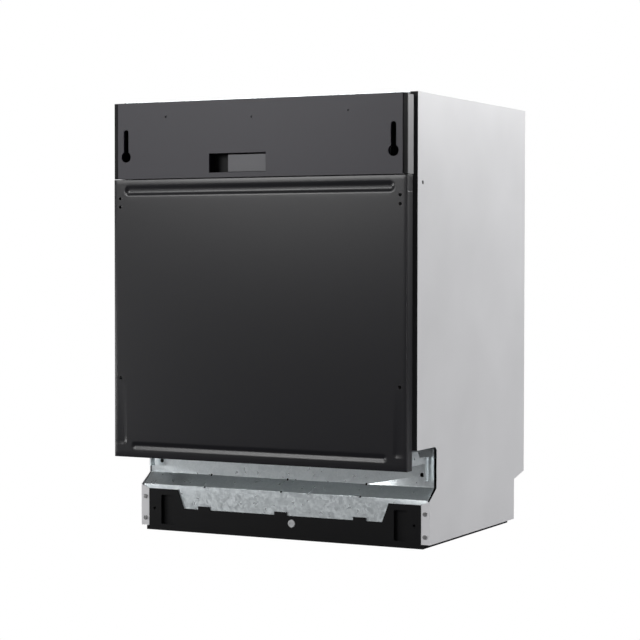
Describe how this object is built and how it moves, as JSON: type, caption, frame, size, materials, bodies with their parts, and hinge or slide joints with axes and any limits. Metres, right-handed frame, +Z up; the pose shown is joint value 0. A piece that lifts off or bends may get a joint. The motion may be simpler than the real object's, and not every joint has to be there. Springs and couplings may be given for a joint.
{
  "type": "built-in dishwasher",
  "caption": "Fully integrated dishwasher with a drop-down door, keyholed control panel, creased sheet apron, wash tub, sliding racks and spray arms.",
  "frame": {"origin": "on the floor at the middle of the footprint", "axes": "+X to the right seen from the front, +Y to the back, +Z up; the door's face is at -Y"},
  "size_m": [0.598, 0.55, 0.802],
  "materials": {
    "white_paint": "satin painted steel",
    "galvanised": "zinc coated sheet",
    "stainless": "brushed stainless steel",
    "black_rubber": "matte",
    "base_plastic": "moulded",
    "door_paint": "semi gloss black paint",
    "panel_plastic": "fine grain",
    "housing_plastic": "moulded",
    "felt": "bitumen felt",
    "grey_plastic": "moulded",
    "light_plastic": "moulded",
    "blue_plastic": "moulded",
    "rack_wire": "nylon coated wire",
    "board": "circuit board",
    "spring_steel": "drawn wire",
    "screw_steel": "zinc plated"
  },
  "bodies": {
    "cabinet": {"side_panel_left": "white_paint", "side_panel_right": "white_paint", "back_panel": "galvanised", "top_frame": "galvanised", "worktop_brackets": "galvanised", "tub": "stainless", "tub_gasket": "black_rubber", "insulation": "felt", "base_tray": "base_plastic", "kick_front": "base_plastic", "front_apron": "galvanised", "front_screws": "screw_steel", "hinge_brackets": "galvanised", "door_springs": "spring_steel", "sump": "grey_plastic", "circulation_pump": "grey_plastic", "drain_pump": "grey_plastic", "inlet_valve": "light_plastic", "water_case": "light_plastic", "softener": "light_plastic", "filter_plate": "stainless", "rail_guides": "stainless", "latch_strike": "galvanised", "mains_gland": "base_plastic", "drain_spigot": "light_plastic"},
    "door": {"door_outer_panel": "door_paint", "control_panel": "panel_plastic", "control_housing": "housing_plastic", "door_liner": "stainless", "door_lower_seal": "black_rubber", "hinge_arms": "galvanised", "control_board": "board", "recess_plate": "grey_plastic", "dispenser": "grey_plastic"},
    "upper_rails": {"upper_rails": "stainless"},
    "upper_rack": {"upper_rack": "rack_wire", "spray_feed": "grey_plastic"},
    "lower_rack": {"lower_rack": "rack_wire"},
    "spring_hooks": {"spring_hooks": "grey_plastic"},
    "salt_cap": {"salt_cap": "blue_plastic"},
    "filter_cup": {"filter_cup": "light_plastic"},
    "foot_front_left": {"foot_front_left": "base_plastic"},
    "foot_front_right": {"foot_front_right": "base_plastic"},
    "foot_rear": {"foot_rear": "base_plastic"},
    "rear_foot_shaft": {"rear_foot_shaft": "light_plastic"},
    "latch_hook": {"latch_hook": "grey_plastic"},
    "power_button": {"power_button": "grey_plastic"},
    "program_button": {"program_button": "grey_plastic"},
    "start_button": {"start_button": "grey_plastic"},
    "dispenser_lid": {"dispenser_lid": "light_plastic"},
    "rinse_cap": {"rinse_cap": "blue_plastic"},
    "lower_spray_arm": {"lower_spray_arm": "light_plastic"},
    "upper_spray_arm": {"upper_spray_arm": "light_plastic"},
    "cup_shelf_left": {"cup_shelf_left": "light_plastic"},
    "cup_shelf_right": {"cup_shelf_right": "light_plastic"},
    "lower_wheels_front": {"lower_wheels_front": "light_plastic"},
    "lower_wheels_rear": {"lower_wheels_rear": "light_plastic"},
    "tine_row_front": {"tine_row_front": "rack_wire"},
    "tine_row_rear": {"tine_row_rear": "rack_wire"},
    "cutlery_basket": {"cutlery_basket": "light_plastic"}
  },
  "joints": [
    {"name": "door_hinge", "type": "hinge", "parent": "cabinet", "child": "door", "pos_m": [0, -0.255, 0.164], "axis": [1, 0, 0], "range_deg": [0, 90]},
    {"name": "latch_turn", "type": "hinge", "parent": "door", "child": "latch_hook", "pos_m": [0, -0.251, 0.786], "axis": [1, 0, 0], "range_deg": [0, 5], "stiffness_Nm_per_rad": 0.5},
    {"name": "power_button_press", "type": "slide", "parent": "door", "child": "power_button", "axis": [0, 0, -1], "range_m": [0, 0.0015], "stiffness_N_per_m": 400, "springref_m": -0.0005},
    {"name": "program_button_press", "type": "slide", "parent": "door", "child": "program_button", "axis": [0, 0, -1], "range_m": [0, 0.0015], "stiffness_N_per_m": 400, "springref_m": -0.0005},
    {"name": "start_button_press", "type": "slide", "parent": "door", "child": "start_button", "axis": [0, 0, -1], "range_m": [0, 0.0015], "stiffness_N_per_m": 400, "springref_m": -0.0005},
    {"name": "dispenser_lid_slide", "type": "slide", "parent": "door", "child": "dispenser_lid", "axis": [0, 0, -1], "range_m": [0, 0.075]},
    {"name": "rinse_cap_turn", "type": "hinge", "parent": "door", "child": "rinse_cap", "pos_m": [0.04, -0.206, 0.518], "axis": [0, 1, 0], "range_deg": [0, 90]},
    {"name": "upper_rails_slide", "type": "slide", "parent": "cabinet", "child": "upper_rails", "axis": [0, -1, 0], "range_m": [0, 0.2357]},
    {"name": "upper_rack_slide", "type": "slide", "parent": "cabinet", "child": "upper_rack", "axis": [0, -1, 0], "range_m": [0, 0.4713]},
    {"name": "lower_rack_slide", "type": "slide", "parent": "cabinet", "child": "lower_rack", "axis": [0, -1, 0], "range_m": [0, 0.1006]},
    {"name": "front_wheels_roll", "type": "hinge", "parent": "lower_rack", "child": "lower_wheels_front", "pos_m": [0, -0.15, 0.2048], "axis": [1, 0, 0], "range_deg": [0, 412]},
    {"name": "rear_wheels_roll", "type": "hinge", "parent": "lower_rack", "child": "lower_wheels_rear", "pos_m": [0, 0.16, 0.2048], "axis": [1, 0, 0], "range_deg": [0, 412]},
    {"name": "tine_front_fold", "type": "hinge", "parent": "lower_rack", "child": "tine_row_front", "pos_m": [0, -0.06, 0.236], "axis": [-1, 0, 0], "range_deg": [0, 80]},
    {"name": "tine_rear_fold", "type": "hinge", "parent": "lower_rack", "child": "tine_row_rear", "pos_m": [0, 0.06, 0.236], "axis": [-1, 0, 0], "range_deg": [0, 80]},
    {"name": "cutlery_basket_lift", "type": "slide", "parent": "lower_rack", "child": "cutlery_basket", "axis": [0, 0, 1], "range_m": [0, 0.12]},
    {"name": "cup_shelf_left_fold", "type": "hinge", "parent": "upper_rack", "child": "cup_shelf_left", "pos_m": [-0.243, 0, 0.592], "axis": [0, -1, 0], "range_deg": [0, 80]},
    {"name": "cup_shelf_right_fold", "type": "hinge", "parent": "upper_rack", "child": "cup_shelf_right", "pos_m": [0.243, 0, 0.592], "axis": [0, 1, 0], "range_deg": [0, 80]},
    {"name": "upper_arm_spin", "type": "hinge", "parent": "upper_rack", "child": "upper_spray_arm", "pos_m": [0, 0.015, 0.478], "axis": [0, 0, 1], "continuous": true},
    {"name": "lower_arm_spin", "type": "hinge", "parent": "cabinet", "child": "lower_spray_arm", "pos_m": [0, 0.03, 0.212], "axis": [0, 0, 1], "continuous": true},
    {"name": "salt_cap_turn", "type": "hinge", "parent": "cabinet", "child": "salt_cap", "pos_m": [-0.15, 0.12, 0.195], "axis": [0, 0, 1], "range_deg": [0, 360]},
    {"name": "filter_twist", "type": "hinge", "parent": "cabinet", "child": "filter_cup", "pos_m": [0, -0.035, 0.19], "axis": [0, 0, 1], "range_deg": [0, 45]},
    {"name": "foot_front_left_adjust", "type": "slide", "parent": "cabinet", "child": "foot_front_left", "axis": [0, 0, -1], "range_m": [0, 0.06]},
    {"name": "foot_front_right_adjust", "type": "slide", "parent": "cabinet", "child": "foot_front_right", "axis": [0, 0, -1], "range_m": [0, 0.06]},
    {"name": "rear_foot_screw", "type": "hinge", "parent": "cabinet", "child": "rear_foot_shaft", "pos_m": [0.0235, 0, 0.0297], "axis": [0, 1, 0], "range_deg": [0, 3600]},
    {"name": "foot_rear_adjust", "type": "slide", "parent": "cabinet", "child": "foot_rear", "axis": [0, 0, -1], "range_m": [0, 0.06]},
    {"name": "spring_pull", "type": "slide", "parent": "cabinet", "child": "spring_hooks", "axis": [0, 0, -1], "range_m": [0, 0.04], "deforming": ["door_springs"]}
  ],
  "couplings": [
    {"joint": "upper_rails_slide", "follows": "door_hinge", "m_per_rad": 0.15},
    {"joint": "upper_rack_slide", "follows": "door_hinge", "m_per_rad": 0.3},
    {"joint": "lower_rack_slide", "follows": "door_hinge", "m_per_rad": 0.064},
    {"joint": "front_wheels_roll", "follows": "door_hinge", "ratio": 4.5714},
    {"joint": "rear_wheels_roll", "follows": "door_hinge", "ratio": 4.5714},
    {"joint": "foot_rear_adjust", "follows": "rear_foot_screw", "m_per_rad": 0.000954},
    {"joint": "spring_pull", "follows": "door_hinge", "m_per_rad": 0.025}
  ]
}
